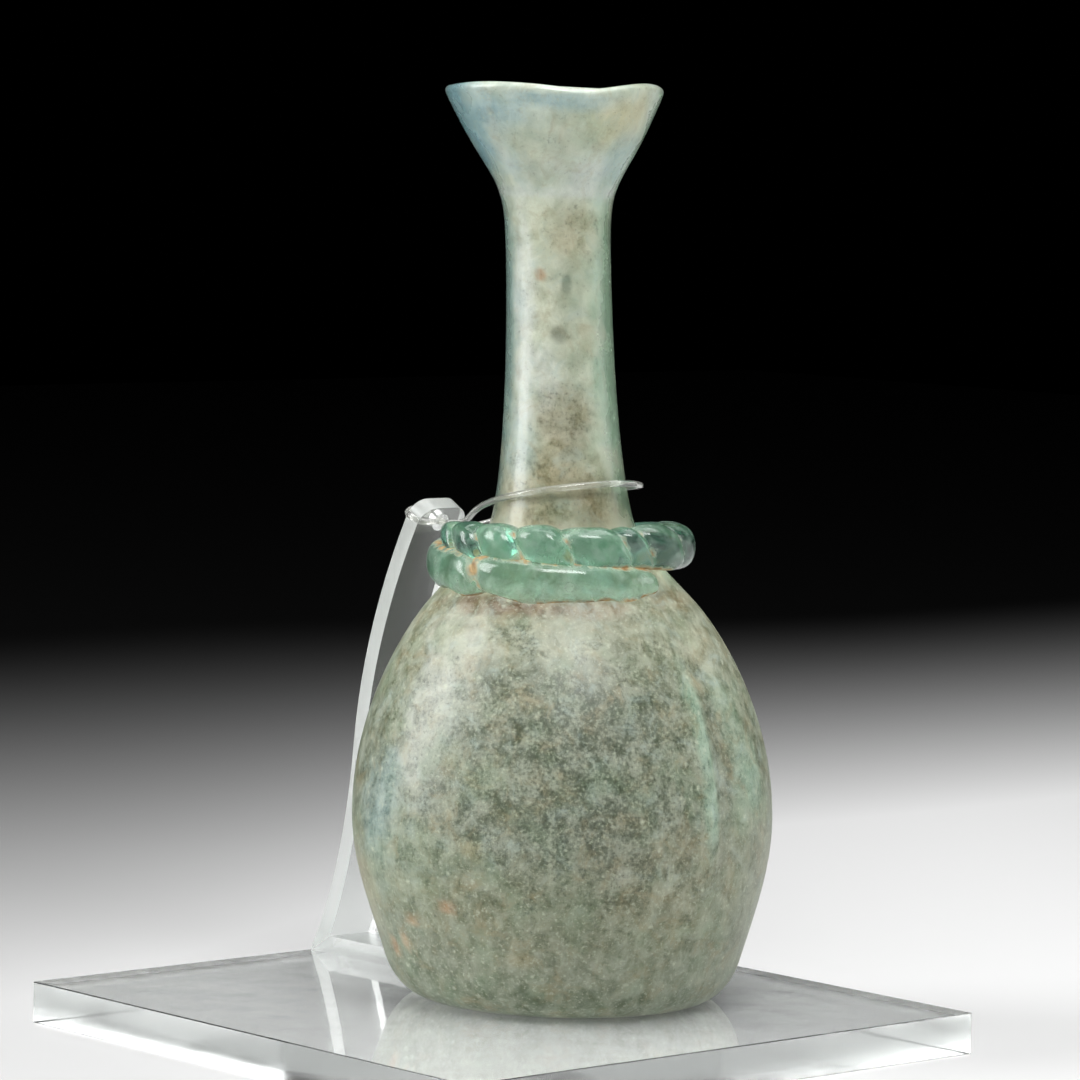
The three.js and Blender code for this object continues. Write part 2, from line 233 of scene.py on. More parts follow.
# The sheet's two faces stay clear. Its sawn sides and rounded end are frosted, and cement has
# smeared the foot tab. The wall of the hole is marked below zero, so that it stays clear.
run = np.array([(TAB_END, STRIP_Y, fold.z), fold, *lower[1:], *upper[1:]])
middles = (run[1:] + run[:-1]) / 2
facing = np.cross(run[1:] - run[:-1], (0, 1, 0))
facing /= np.linalg.norm(facing, axis=1)[:, None]
faces = strip.data.polygons
centres = np.empty(len(faces) * 3)
normals = np.empty(len(faces) * 3)
faces.foreach_get("center", centres)
faces.foreach_get("normal", normals)
beside = centres.reshape(-1, 1, 3) - middles
beside[:, :, 1] = 0
own = facing[np.argmin((beside ** 2).sum(axis=2), axis=1)]
sawn = (np.abs((normals.reshape(-1, 3) * own).sum(axis=1)) < 0.6).astype(float)
centres = centres.reshape(-1, 3)
sawn[(centres[:, 0] > fold.x + STRIP_THICK) & (centres[:, 2] < fold.z + STRIP_THICK)] = SMEARED_FOOT
from_axis = np.cross(centres - np.array(hole_at), np.array(drill_axis))
sawn[np.linalg.norm(from_axis, axis=1) < 1.1 * HOLE_RADIUS] = -1
strip.data.attributes.new("sawn", "FLOAT", "FACE").data.foreach_set("value", sawn)

# The same acrylic as it leaves the saw: the cut grain scatters light, so the edges glow white.
sawn_acrylic = acrylic.copy()
sawn_acrylic.name = "sawn_cast_acrylic"
tree = sawn_acrylic.node_tree
surface = tree.nodes["Principled BSDF"]
cut = add(tree, "ShaderNodeAttribute", {}, attribute_name="sawn")
place = add(tree, "ShaderNodeTexCoord", {})
# The flame that bent the foot also polished the cut edges near it.
lift = add(tree, "ShaderNodeSeparateXYZ", {0: place.outputs["Object"]})
flamed = spread(tree, lift.outputs["Z"], FLAMED_BELOW, UNFLAMED_ABOVE, FLAMED_GRAIN, 1)
along = add(tree, "ShaderNodeVectorMath", {
    0: place.outputs["Object"], 1: tuple(leaning(TOP_LEAN))}, operation="DOT_PRODUCT")
end_at = TOP.dot(leaning(TOP_LEAN))
sanded = spread(tree, along.outputs["Value"], end_at - MATT_END - MATT_BLUR, end_at - MATT_END + MATT_BLUR)
cut = reckon(tree, "MULTIPLY_ADD", cut.outputs["Fac"], flamed, sanded, use_clamp=True)
drawn = add(tree, "ShaderNodeMapping", {"Vector": place.outputs["Object"], "Scale": (1, 1, 0.06)})
saw_lines = add(tree, "ShaderNodeTexNoise", {
    "Vector": drawn.outputs["Vector"], "Scale": 1 / (0.8 * MM), "Detail": 3})
white = spread(tree, saw_lines.outputs["Fac"], 0.35, 0.65, 0.25, 0.5)
grain = reckon(tree, "MULTIPLY", cut, white)
whiter = reckon(tree, "MULTIPLY_ADD", sanded, SANDED_WHITE, grain)
clear = reckon(tree, "SUBTRACT", FACE_CLEAR, whiter)
tree.links.new(clear, surface.inputs["Transmission Weight"])
matt = spread(tree, cut, 0, FLAMED_GRAIN, 0.05, 0.32)
tree.links.new(matt, surface.inputs["Roughness"])
ground = blend(tree, cut, colour("#f4f6f5"), colour("#c4c8c4"))
tree.links.new(ground, surface.inputs["Base Color"])

strip.data.materials.append(sawn_acrylic)
strip.visible_shadow = False
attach(strip, "root")
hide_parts("stand_upright")

# Flask: free-blown soda-lime glass, one gathered and blown piece with a fire-rounded lip.
# Burial has frosted and mottled it, with milky films, dark specks and a little earth.

FLASK_AT = Vector((3.5 * MM, 9.4 * MM, PLATE_THICK))
# Sizes on the flask itself are in millimetres, heights from its base.
FLASK_HEIGHT = 139.3
WALL = 1.85
BODY_RADIUS = 32.0
SPIN_STEPS = 96
LIP_EDGE = 0.8
OVAL = 0.006
OVAL_TO = math.radians(30)
RIPPLE = 0.12
# The outside from the pushed-up base to the lip: two pulls and an end for each stretch, in
# millimetres of radius and height.
OUTLINE_START = (0, 0.9)
OUTLINE = [
    (9, 0.9, 17.6, 0, 20.9, 0),
    (24.1, 0.4, 26.2, 3.5, 27, 6),
    (29.4, 14.1, 32, 20.5, 32, 28.5),
    (32, 42.5, 25.1, 55.4, 20, 61),
    (17.2, 64.1, 11.9, 68.8, 10.8, 73.2),
    (7.9, 84.9, 7.95, 111.5, 7.95, 114.3),
    (7.95, 126.6, 10, 122.6, 16.8, 138.4),
]
NECK_STRETCH = 5
LEAN = 4.5
LEAN_TO = math.radians(228.5)


def lean_at(height):
    """Sideways drift of the flask's middle at a height, in millimetres."""
    share = height / FLASK_HEIGHT
    drift = LEAN * (share + 2 * share * share) / 3
    return drift * math.cos(LEAN_TO), drift * math.sin(LEAN_TO)


def ease(value, low, high):
    """Runs smoothly from 0 at the low value to 1 at the high one."""
    share = np.clip((value - low) / (high - low), 0, 1)
    return share * share * (3 - 2 * share)


bpy.ops.object.select_all(action="DESELECT")
bpy.ops.curve.primitive_bezier_curve_add()
flask = bpy.context.object
flask.name = "blown_flask"
profile = flask.data.splines[0]
profile.bezier_points.add(len(OUTLINE) - 1)
knots = [OUTLINE_START, *[stretch[4:] for stretch in OUTLINE]]
for index, knot in enumerate(profile.bezier_points):
    before = OUTLINE[index - 1][2:4] if index > 0 else knots[0]
    after = OUTLINE[index][:2] if index < len(OUTLINE) else knots[-1]
    knot.handle_left_type = knot.handle_right_type = "FREE"
    knot.co = (knots[index][0] * MM, 0, knots[index][1] * MM)
    knot.handle_left = (before[0] * MM, 0, before[1] * MM)
    knot.handle_right = (after[0] * MM, 0, after[1] * MM)
flask.data.resolution_u = 12
bpy.ops.object.mode_set(mode="EDIT")
bpy.ops.curve.select_all(action="DESELECT")
# The long neck is cut finer, so that its stains come out as sharp as the body's.
for knot in flask.data.splines[0].bezier_points[NECK_STRETCH:NECK_STRETCH + 2]:
    knot.select_control_point = knot.select_left_handle = knot.select_right_handle = True
bpy.ops.curve.subdivide(number_cuts=2)
bpy.ops.object.mode_set(mode="OBJECT")
bpy.ops.object.convert(target="MESH")
flask = bpy.context.object
bpy.ops.object.transform_apply()
bpy.ops.object.mode_set(mode="EDIT")
bpy.ops.mesh.select_all(action="SELECT")
bpy.ops.mesh.spin(steps=SPIN_STEPS, angle=2 * math.pi, center=(0, 0, 0), axis=(0, 0, 1))
bpy.ops.mesh.select_all(action="SELECT")
bpy.ops.mesh.remove_doubles(threshold=0.01 * MM)
bpy.ops.mesh.normals_make_consistent(inside=True)
bpy.ops.object.mode_set(mode="OBJECT")
wall = flask.modifiers.new("wall", "SOLIDIFY")
wall.thickness = WALL * MM
wall.offset = -1
wall.use_even_offset = True
bpy.ops.object.modifier_apply(modifier=wall.name)
lip = flask.modifiers.new("fire_rounded_lip", "BEVEL")
lip.width = LIP_EDGE * MM
lip.segments = 3
lip.limit_method = "ANGLE"
lip.angle_limit = math.radians(45)
bpy.ops.object.modifier_apply(modifier=lip.name)
smooth = flask.modifiers.new("smooth", "SUBSURF")
smooth.levels = smooth.render_levels = 1
bpy.ops.object.modifier_apply(modifier=smooth.name)

# The blown form settles out of true: it leans, is a little oval, carries one soft upright
# hollow and small dents, and its rim rises and falls.
DENTS = [
    # direction in degrees, height, reach sideways and upwards, depth in millimetres
    (9.5, 37, 3.6, 18, 0.9),
    (2, 38, 2.4, 19, -0.4),
    (22, 44, 3.5, 10, -0.35),
    (27, 55, 4, 5, -0.4),
    (-70, 40, 9, 16, 0.3),
    (120, 30, 12, 18, 0.4),
    (200, 45, 9, 14, 0.35),
    (250, 22, 11, 9, -0.3),
]
RIM_RISES = [
    # direction and width in degrees, rise in millimetres
    (-78, 30, 0.3), (-24, 20, -0.55), (20, 24, 0.5), (100, 40, -0.3), (170, 35, 0.15), (232, 30, -0.35),
]


def round_from(direction, angles):
    """How far angles lie from a direction in degrees, in radians, at most half a turn either way."""
    return np.angle(np.exp(1j * (angles - math.radians(direction))))


count = len(flask.data.vertices)
points = np.empty(count * 3)
flask.data.vertices.foreach_get("co", points)
points = points.reshape(-1, 3) / MM
angle = np.arctan2(points[:, 1], points[:, 0])
radius = np.hypot(points[:, 0], points[:, 1])
height = points[:, 2]
body = 1 - ease(height, 36, 66)
moved = OVAL * body * np.cos(2 * (angle - OVAL_TO)) * radius
for direction, level, wide, tall, depth in DENTS:
    turn = round_from(direction, angle) * BODY_RADIUS
    moved -= depth * np.exp(-(turn / wide) ** 2 - ((height - level) / tall) ** 2) * (radius > 5)
moved += RIPPLE * np.sin(3 * angle + height / 11) * ease(height, 4, 14) * np.minimum(radius / 20, 1)
lean_x, lean_y = lean_at(height)
rim = np.zeros(count)
for direction, wide, rise in RIM_RISES:
    turn = np.degrees(round_from(direction, angle))
    rim += rise * np.exp(-(turn / wide) ** 2)
settled = np.stack([
    (radius + moved) * np.cos(angle) + lean_x,
    (radius + moved) * np.sin(angle) + lean_y,
    height + rim * ease(height, 122, FLASK_HEIGHT),
], axis=1)
flask.data.vertices.foreach_set("co", (settled * MM + np.array(FLASK_AT)).ravel())
flask.data.update()
bpy.ops.object.shade_smooth()

# Burial has stained it from base to lip and patch by patch; a few patches, marked below, are painted
# highlight and painted shade. A stain has a direction in degrees, a height, its reach sideways and upwards
# in millimetres, a colour and a strength.
TINTS = {
    "milk": "#c6cabf", "cream": "#cbc8ad", "sage": "#858d72", "lichen": "#989c80",
    "grey_green": "#747e69", "shade": "#5d6650", "moss": "#61704b", "sea": "#a0c6aa", "blue": "#9dc4cc",
    "tan": "#cf9f70", "ochre": "#b3a170", "brown": "#957f58", "pale": "#dadfc6", "lip": "#e8f3e4",
    "teal": "#8db3b0", "olive": "#858a62", "butter": "#dcd3a4", "earth": "#77593a", "white": "#e9eee8",
}
GROUND = [
    (0, "shade"), (1.5, "moss"), (6, "sage"), (30, "sage"), (46, "sage"), (56, "lichen"),
    (64, "lichen"), (70, "cream"), (78, "pale"), (120, "pale"), (126, "lip"), (140, "lip"),
]
STAINS = [
    # direction, height, reach sideways and upwards, tint, strength
    # The milky band on the left of the body, at -88 to -72 degrees, is partly a milky film and partly a
    # painted highlight of the left soft box.
    (-88, 47, 6, 15, "milk", 0.85), (-84, 58, 6, 6, "cream", 0.5), (-72, 52, 3, 8, "milk", 0.4),
    (-40, 40, 22, 13, "grey_green", 0.75), (-58, 46, 8, 7, "shade", 0.55),
    (-22, 46, 9, 6, "shade", 0.45), (-5, 34, 7, 9, "shade", 0.5), (-66, 31, 8, 7, "shade", 0.45),
    (-40, 31, 16, 6, "grey_green", 0.5), (-8, 22, 10, 8, "brown", 0.35), (-35, 22, 14, 5, "shade", 0.3),
    (-43, 11, 20, 8, "lichen", 0.3), (-26, 23, 1.3, 1.3, "milk", 0.8), (16, 42, 3, 12, "sea", 0.4),
    (2, 40, 2, 14, "sea", 0.8), (9.5, 39, 2.2, 9, "shade", 0.85), (23, 35, 3, 6, "sea", 0.8),
    (14, 55, 5, 4, "cream", 0.5), (30, 22, 7, 12, "lichen", 0.5), (-103, 31, 6, 9, "blue", 0.55),
    (-112, 38, 6, 10, "grey_green", 0.5), (-96, 22, 10, 7, "sea", 0.35), (-105, 6, 14, 5, "moss", 0.8),
    (-60, 3.5, 20, 3, "moss", 0.8), (-20, 2, 30, 2.5, "moss", 0.75), (-45, 18, 30, 7, "olive", 0.5),
    (-85, 20, 10, 8, "olive", 0.4), (-77, 17, 1.7, 1.3, "tan", 0.9), (-92, 13.8, 1.5, 1.1, "tan", 0.8),
    (-98, 10.3, 1.2, 1.6, "tan", 0.8), (-106, 9, 1.4, 1.4, "tan", 0.8),
    (-67, 25.6, 2.2, 1.5, "ochre", 0.7), (-55, 9.7, 2, 1.2, "ochre", 0.5),
    (-82, 61.5, 10, 1.6, "earth", 0.95), (-58, 61.1, 7, 1.3, "earth", 0.85),
    (-38, 61, 10, 1.1, "earth", 0.7), (-20, 61.2, 6, 1, "brown", 0.6), (20, 62, 8, 1.6, "brown", 0.6),
    (-40, 89, 6, 4.5, "brown", 0.55), (-27, 117, 6, 4, "ochre", 0.5),
    (-33, 109, 0.8, 1.4, "shade", 0.8), (-44, 101.4, 1.3, 1.2, "shade", 0.7),
    (-62, 110.5, 1, 1, "tan", 0.8), (-52, 81, 4, 5, "ochre", 0.4), (-40, 77.5, 16, 6, "ochre", 0.65),
    # The tall sea and teal strips up the neck at 30 and -128 degrees lie on its edge bands: painted shade,
    # the teal of glass seen edge-on.
    (-5, 76, 6, 4, "brown", 0.4), (30, 96, 6.5, 26, "sea", 0.8), (-128, 100, 6, 26, "teal", 0.8),
    # The sea patch at 48 degrees by the mouth is painted shade on its right edge band in the same way.
    (48, 130, 9, 9, "sea", 0.7), (-83, 127.5, 7, 4, "butter", 0.85), (0, 133.5, 8, 4, "butter", 0.85),
    (-110, 133, 11, 9, "blue", 1.0), (-57, 136.6, 8, 1.3, "blue", 0.7),
    (-33, 136.8, 8, 1.3, "blue", 0.6), (-18, 126, 5, 3, "white", 0.8), (-62, 131, 6, 3.5, "pale", 0.7),
    (-30, 130, 4, 3, "cream", 0.5), (-45, 126, 5, 2, "white", 0.5), (-20, 132, 3, 3, "sea", 0.4),
    (-74, 134.5, 5, 2, "blue", 0.6), (18, 128, 4, 4, "blue", 0.5), (-40, 122.9, 30, 0.9, "white", 0.7),
    # The long white streak at -84 degrees up the neck is a painted highlight of the left soft box.
    (-84, 104, 2.2, 22, "white", 0.6), (-84, 84, 3, 6, "blue", 0.4), (-15, 100, 1.5, 9, "pale", 0.6),
    (-57, 95, 2, 5, "white", 0.5), (150, 42, 20, 14, "grey_green", 0.6), (95, 30, 10, 16, "sea", 0.5),
    (205, 50, 12, 9, "milk", 0.6), (240, 18, 9, 6, "ochre", 0.5), (120, 12, 16, 5, "lichen", 0.5),
    (140, 95, 9, 8, "ochre", 0.5), (170, 133, 12, 4, "blue", 0.6), (110, 62.5, 20, 1.8, "brown", 0.6),
    (190, 62.5, 20, 1.8, "brown", 0.6),
]
# The two bands sit at the neck's edges as seen by the camera: painted shade.
EDGE_SHADE_BANDS = [
    # middle direction, half the width on the neck and at the mouth, in degrees
    (-131, 28, 34), (42, 36, 12),
]
CLEAR_AWAY_FROM_EDGES = 0.15
stained = np.stack([
    np.interp(height, [at for at, _ in GROUND], [colour(TINTS[tint])[band] for _, tint in GROUND])
    for band in range(3)
], axis=1)
wobble = np.array([noise.fractal(Vector(p) / 5, 1.0, 2.0, 4) for p in points])
gritty = np.zeros(count)
for direction, level, wide, tall, tint, strength in STAINS:
    turn = round_from(direction, angle) * np.clip(radius, 7, None)
    near = np.exp(-(turn / wide) ** 2 - ((height - level) / tall) ** 2)
    cover = strength * ease(near + 0.55 * wobble * near ** 0.45, 0.1, 0.8)
    stained += cover[:, None] * (np.array(colour(TINTS[tint])[:3]) - stained)
    if tint in ("ochre", "brown"):
        gritty = np.maximum(gritty, cover)
# The outside's radius at each height, for the trail to lie on.
skin_at = np.array([
    point for start, stretch in zip(knots[1:], OUTLINE[1:])
    for point in interpolate_bezier(
        Vector((*start, 0)), Vector((*stretch[:2], 0)),
        Vector((*stretch[2:4], 0)), Vector((*stretch[4:], 0)), 40)
])
# Up the neck and mouth two bands lie at the left and right edges as seen by the camera; they keep no film,
# so the glass shows its own green and the dark behind it. Their dark teal is painted shade, standing in
# for the dark edges of glass seen edge-on.
neck = ease(height + 2 * wobble, 67, 77)
painted_edge_clarity = np.full(count, CLEAR_AWAY_FROM_EDGES)
for middle, half_neck, half_mouth in EDGE_SHADE_BANDS:
    turn = np.degrees(np.abs(round_from(middle, angle)))
    half = half_neck + (half_mouth - half_neck) * ease(height, 116, 130)
    painted_edge_clarity = np.maximum(painted_edge_clarity, 1 - ease(turn + 16 * wobble - half, -16, 14))
painted_edge_clarity *= neck
flask.data.attributes.new("painted_edge_clarity", "FLOAT", "POINT").data.foreach_set("value", painted_edge_clarity)
# Dark specks crowd on the middle of the body and thin out towards base, shoulder and neck, where
# only the brown stains are gritty.
ragged = height + 12 * wobble
middle_band = ease(ragged, 6, 36) * (1 - ease(ragged, 46, 62))
front_and_back = 0.3 + 0.7 * np.cos(angle + 0.7) ** 4
crowd = 0.12 + 0.88 * middle_band * front_and_back
crowd = np.maximum(crowd, neck * (0.22 + 0.7 * gritty))
patina = flask.data.color_attributes.new("patina", "FLOAT_COLOR", "POINT")
patina.data.foreach_set("color", np.column_stack([stained, crowd]).ravel())

# Weathered soda-lime glass: naturally green glass under a frosted skin. Light sinks a little way
# in, so it looks milky; fine pits, films and specks break the colour below the size of the stains.
weathered, tree, surface = new_material("weathered_blown_glass")
place = add(tree, "ShaderNodeTexCoord", {})
# Millimetres from the middle of the flask's base.
spot = add(tree, "ShaderNodeMapping", {
    "Vector": place.outputs["Object"], "Scale": (1 / MM,) * 3, "Location": tuple(-FLASK_AT / MM)})
skin = add(tree, "ShaderNodeAttribute", {}, attribute_name="patina")
wisp = add(tree, "ShaderNodeTexNoise", {
    "Vector": spot.outputs["Vector"], "Scale": 1 / 2.6, "Detail": 8, "Roughness": 0.68, "Distortion": 0.4})
mottle = add(tree, "ShaderNodeTexNoise", {
    "Vector": spot.outputs["Vector"], "Scale": 1 / 6.5, "Detail": 6, "Roughness": 0.6})
drawn = add(tree, "ShaderNodeMapping", {"Vector": spot.outputs["Vector"], "Scale": (1, 1, 0.2)})
streak = add(tree, "ShaderNodeTexNoise", {
    "Vector": drawn.outputs["Vector"], "Scale": 1 / 2.6, "Detail": 5, "Roughness": 0.6})
grain = add(tree, "ShaderNodeTexNoise", {
    "Vector": spot.outputs["Vector"], "Scale": 1 / 0.55, "Detail": 4, "Roughness": 0.65})
jitter = add(tree, "ShaderNodeVectorMath", {
    0: grain.outputs["Color"], 1: (1, 1, 1), 2: spot.outputs["Vector"]}, operation="MULTIPLY_ADD")
dots = add(tree, "ShaderNodeTexVoronoi", {"Vector": jitter.outputs[0], "Scale": 1 / 3.4})

# Films: thin ones let the dark glass show through, thick ones are milky.
crowded = spread(tree, skin.outputs["Alpha"], 0, 1, 0.17, 0.46)
deep = blend(tree, crowded, skin.outputs["Color"], colour("#56644d"))
milk = blend(tree, 0.3, skin.outputs["Color"], colour("#dce1d0"))
film = spread(tree, wisp.outputs["Fac"], 0.38, 0.6)
tone = blend(tree, film, deep, milk)
# Some films are buff with earth, others cold and bluish.
buff = add(tree, "ShaderNodeTexNoise", {
    "Vector": spot.outputs["Vector"], "Scale": 1 / 4.2, "Detail": 7, "Roughness": 0.7, "Distortion": 0.6})
warm = spread(tree, buff.outputs["Fac"], 0.52, 0.66, 0, 0.42)
tone = blend(tree, warm, tone, colour("#a8966c"))
rise = add(tree, "ShaderNodeSeparateXYZ", {0: spot.outputs["Vector"]})
high = spread(tree, rise.outputs["Z"], 10, 34, 0.1, 0.42)
cold = spread(tree, buff.outputs["Fac"], 0.47, 0.34, 0, high)
tone = blend(tree, cold, tone, colour("#bcd0c8"))
greener = spread(tree, mottle.outputs["Fac"], 0.5, 0.66, 0, 0.32)
tone = blend(tree, greener, tone, colour("#7f9a78"))
streaky = spread(tree, streak.outputs["Fac"], 0.54, 0.72, 0, 0.4)
tone = blend(tree, streaky, tone, colour("#c3cab2"))
# Dark wisps where specks crowd, then fine pale grain and single pale dots.
thick = reckon(tree, "MULTIPLY_ADD", skin.outputs["Alpha"], 0.2, grain.outputs["Fac"])
thick = reckon(tree, "MULTIPLY_ADD", wisp.outputs["Fac"], -0.5, thick)
dark = spread(tree, thick, 0.4, 0.6, 0, 0.62)
tone = blend(tree, dark, tone, colour("#4b5442"))
pale = spread(tree, grain.outputs["Fac"], 0.45, 0.31, 0, 0.6)
tone = blend(tree, pale, tone, colour("#c9d0b7"))
dotted = spread(tree, dots.outputs["Distance"], 0.03, 0.15, 0.6, 0)
tone = blend(tree, dotted, tone, colour("#d3dac3"))
# Painted shade: the edge bands drop the film and let the dark behind the glass through.
painted_edge_clear = add(tree, "ShaderNodeAttribute", {}, attribute_name="painted_edge_clarity")
filmed = spread(tree, mottle.outputs["Fac"], 0.48, 0.7, 1, 0.5)
painted_edge_clear = reckon(tree, "MULTIPLY", painted_edge_clear.outputs["Fac"], filmed)
tone = blend(tree, painted_edge_clear, tone, skin.outputs["Color"])
tree.links.new(tone, surface.inputs["Base Color"])

frost = spread(tree, wisp.outputs["Fac"], 0.3, 0.7, 0.32, 0.54)
frost = add(tree, "ShaderNodeMix", {0: painted_edge_clear, 2: frost, 3: 0.2})
tree.links.new(frost.outputs[0], surface.inputs["Roughness"])
through = spread(tree, wisp.outputs["Fac"], 0.35, 0.65, 0.42, 0.24)
through = add(tree, "ShaderNodeMix", {0: painted_edge_clear, 2: through, 3: 0.62})
tree.links.new(through.outputs[0], surface.inputs["Transmission Weight"])
# The neck kept more of its fire polish under the film than the body did.
sheen = spread(tree, rise.outputs["Z"], 66, 80, 0.05, 0.5)
tree.links.new(sheen, surface.inputs["Coat Weight"])
surface.inputs["Coat Roughness"].default_value = 0.16
pitted = add(tree, "ShaderNodeBump", {
    "Height": wisp.outputs["Fac"], "Strength": 0.25, "Distance": 0.4 * MM})
tree.links.new(pitted.outputs["Normal"], surface.inputs["Normal"])
surface.inputs["IOR"].default_value = 1.5
green_depth = add(tree, "ShaderNodeVolumeAbsorption", {"Color": colour("#8cc9ae"), "Density": 90})
tree.links.new(green_depth.outputs["Volume"], tree.nodes["Material Output"].inputs["Volume"])

flask.data.materials.append(weathered)
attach(flask, "root")
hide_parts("flask")

# Collar trail: a thick thread of clearer green glass, wound hot round the foot of the neck.
# Its lower turn lies smooth; the upper turn was pincered into slanting lobes before it set.

# Its start and length in degrees, its sizes in millimetres.
TRAIL_FROM = 13.5
TRAIL_SPAN = 510
TRAIL_REACH = 19.9
TRAIL_HALF = 3.35
TRAIL_LEVEL = 64.9
TRAIL_CLIMB = 5.4
CLIMBED_AT = 430
# Where it is thickest and where it stands out furthest: degrees along the trail, width in degrees
# and growth in millimetres.
THICKEST = (325, 40, 0.75)
FURTHEST = (145, 65, 1)
SLICES = 560
SIDES = 44
BEDDED = 0.4
SQUARED = 2.5
CRIMP_SLANT = 1.8
CRIMPS = [
    # degrees along the trail, depth and downward pull in millimetres, width in degrees
    (99, 1.1, 0.3, 3.5), (214, 0.9, 0.3, 4), (243, 1.1, 0.5, 4), (268, 1.0, 0.4, 3.5),
    (296, 1.2, 0.6, 4), (321, 1.1, 0.5, 3.5), (346, 1.4, 0.7, 4), (370.5, 1.6, 1.1, 3.2),
    (384, 1.3, 0.5, 2.6), (412, 2.0, 1.5, 3.6), (437, 2.1, 1.4, 4.2), (460, 1.7, 0.8, 3.4),
    (482, 1.4, 0.5, 3.2),
]
FILLED_CRIMP = 99
LOWER_TURN_END = 150
UPPER_TURN_START = 355
SAGS = [
    # degrees along the trail, width in degrees, drop of its lower side in millimetres
    (27, 9, 1.3), (51, 8, 0.5), (73, 12, 1.2), (113, 10, 0.9), (135, 9, 0.5), (170, 16, 0.6),
]

bpy.ops.object.select_all(action="DESELECT")
bpy.ops.mesh.primitive_grid_add(x_subdivisions=SLICES, y_subdivisions=SIDES, size=1)
trail = bpy.context.object
trail.name = "crimped_trail"
flat = np.empty(len(trail.data.vertices) * 3)
trail.data.vertices.foreach_get("co", flat)
flat = flat.reshape(-1, 3) + 0.5
sweep = flat[:, 0] * TRAIL_SPAN
side = flat[:, 1] * 2 * math.pi
to_end = np.minimum(sweep, TRAIL_SPAN - sweep)
thickest, furthest = [
    growth * np.exp(-((sweep - at) / wide) ** 2) for at, wide, growth in (THICKEST, FURTHEST)]
half = TRAIL_HALF + thickest + 0.12 * np.sin(np.radians(sweep) * 5.3)
half *= 0.62 + 0.38 * ease(to_end, 0, 55)
half *= np.sqrt(1 - (1 - np.clip(to_end / 9, 0, 1)) ** 2)
pinch = np.zeros_like(half)
pull = np.zeros_like(half)
crease = np.zeros_like(half)
for at, depth, drop, wide in CRIMPS:
    # A crimp has one steep side and one that runs out slowly, and a sharp bottom.
    off = sweep - at
    dip = np.exp(-np.abs(off) / np.where(off > 0, 0.7 * wide, 1.6 * wide)) * ease(to_end, 0, 14)
    pinch = np.maximum(pinch, depth * dip)
    pull = np.maximum(pull, drop * dip)
    crease = np.maximum(crease, dip ** 3)
sag = sum(drop * np.exp(-((sweep - at) / wide) ** 2) for at, wide, drop in SAGS)

# The glass it was wound on stops its inner side, a little inside the flask's own skin.
middle_r = TRAIL_REACH + furthest - TRAIL_HALF
middle_h = TRAIL_LEVEL + TRAIL_CLIMB * ease(sweep, 0, CLIMBED_AT)
across, over = np.cos(side), np.sin(side)
squared = (np.abs(across) ** SQUARED + np.abs(over) ** SQUARED) ** (-1 / SQUARED)
inside = np.zeros_like(half)
outside = half * (0.94 * squared) - pinch * (0.55 + 0.45 * across)
for _ in range(20):
    trial = (inside + outside) / 2
    skin = np.interp(middle_h + trial * over, skin_at[:, 1], skin_at[:, 0]) - BEDDED
    clear = middle_r + trial * across >= skin
    inside = np.where(clear, trial, inside)
    outside = np.where(clear, outside, trial)
up = outside * over
slanted = sweep + CRIMP_SLANT * up
radius = middle_r + outside * across
level = middle_h + up - (sag + pull) * ease(-over, -0.3, 0.9) * ease(across, -0.6, 0.4)
# Where it sagged it spread out over the shoulder.
radius = np.maximum(radius, np.interp(level, skin_at[:, 1], skin_at[:, 0]) - BEDDED)
turn = np.radians(TRAIL_FROM - slanted)
lean_x, lean_y = lean_at(level)
wound = np.stack([radius * np.cos(turn) + lean_x, radius * np.sin(turn) + lean_y, level], axis=1)
# Earth stays where the trail meets the flask, between its two turns and in the crimps.
touching = 1 - ease(radius - np.interp(level, skin_at[:, 1], skin_at[:, 0]), 0.15, 1.0)
doubled = np.where(
    sweep < LOWER_TURN_END, ease(over, 0.6, 0.9),
    np.where(sweep > UPPER_TURN_START, ease(-over, 0.62, 0.92), 0))
cling = np.array([noise.fractal(Vector(p) / 1.6, 1.0, 2.0, 4) for p in wound])
lodged = np.maximum(np.maximum(touching, 0.9 * doubled), 0.75 * crease * ease(across, -0.2, 0.5))
earth = np.clip(lodged * (0.75 + 0.9 * cling) + 0.25 * np.clip(cling - 0.35, 0, 1), 0, 1)
# The oldest crimp, low on the side where both turns meet, is filled flush.
filled = np.exp(-((slanted - FILLED_CRIMP) / 4) ** 2 - ((over - 0.35) / 0.6) ** 2)
earth = np.maximum(earth, filled * (across > 0) * (sweep < LOWER_TURN_END))
trail.data.attributes.new("earth", "FLOAT", "POINT").data.foreach_set("value", earth)
trail.data.vertices.foreach_set("co", (wound * MM + np.array(FLASK_AT)).ravel())
trail.data.update()
bpy.ops.object.mode_set(mode="EDIT")
bpy.ops.mesh.select_all(action="SELECT")
bpy.ops.mesh.remove_doubles(threshold=0.01 * MM)
bpy.ops.mesh.normals_make_consistent(inside=False)
bpy.ops.object.mode_set(mode="OBJECT")
bpy.ops.object.shade_smooth()

